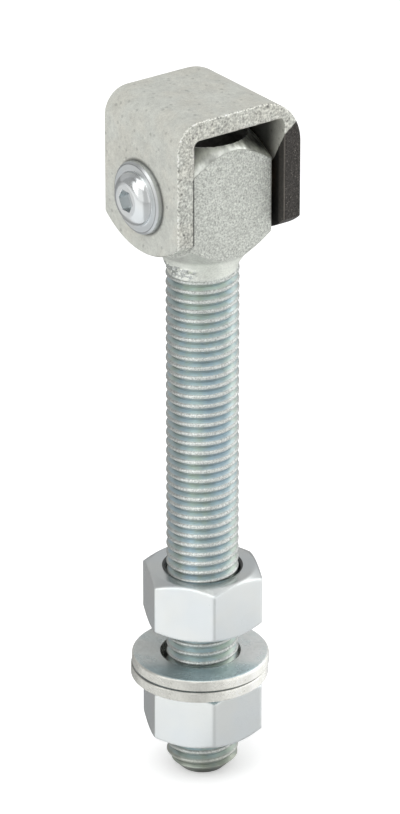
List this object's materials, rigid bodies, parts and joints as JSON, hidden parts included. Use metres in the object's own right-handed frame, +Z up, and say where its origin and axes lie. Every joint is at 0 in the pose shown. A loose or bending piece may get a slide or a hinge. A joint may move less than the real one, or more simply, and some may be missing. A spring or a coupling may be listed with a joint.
{
  "type": "adjustable gate hinge",
  "caption": "Adjustable gate hinge: weld-on U bracket, eye bolt swinging on a screwed pivot, and a threaded stud with clamp nuts and washers.",
  "frame": {"origin": "where the pivot axis meets the weld face, which is the outer face of the right cheek", "axes": "+X leaves the weld face along the pivot axis, +Z is up, the stud hangs along -Z, -Y is the front"},
  "size_m": [0.0404, 0.0341, 0.1805],
  "materials": {
    "bracket_zinc": "matte zinc plating on rolled plate, right cheek bare black for welding",
    "bolt_zinc": "satin zinc plating on a forging",
    "screw_zinc": "bright zinc plating",
    "sleeve_steel": "drawn steel tube",
    "bush_bronze": "sintered bronze",
    "nut_zinc": "bright zinc plating",
    "washer_zinc": "satin zinc plating"
  },
  "bodies": {
    "bracket": {"u_bracket": "bracket_zinc", "pivot_screw": "screw_zinc", "pivot_sleeve": "sleeve_steel"},
    "bolt": {"eye_bolt": "bolt_zinc", "bush_left": "bush_bronze", "bush_right": "bush_bronze"},
    "upper_nut": {"upper_nut": "nut_zinc"},
    "washers": {"washer_upper": "washer_zinc", "washer_lower": "washer_zinc"},
    "lower_nut": {"lower_nut": "nut_zinc"}
  },
  "joints": [
    {"name": "pivot_swing", "type": "hinge", "parent": "bracket", "child": "bolt", "pos_m": [-0.018, 0, 0], "axis": [1, 0, 0], "range_deg": [-90, 90]},
    {"name": "upper_nut_travel", "type": "slide", "parent": "bolt", "child": "upper_nut", "axis": [0, 0, 1], "range_m": [-0.004, 0.079]},
    {"name": "washer_travel", "type": "slide", "parent": "bolt", "child": "washers", "axis": [0, 0, 1], "range_m": [-0.0075, 0.004]},
    {"name": "lower_nut_turn", "type": "hinge", "parent": "washers", "child": "lower_nut", "pos_m": [-0.018, 0, -0.1397], "axis": [0, 0, 1], "range_deg": [-1082, 578]}
  ],
  "couplings": [
    {"joint": "lower_nut_turn", "follows": "washer_travel", "rad_per_m": 2513.3}
  ]
}
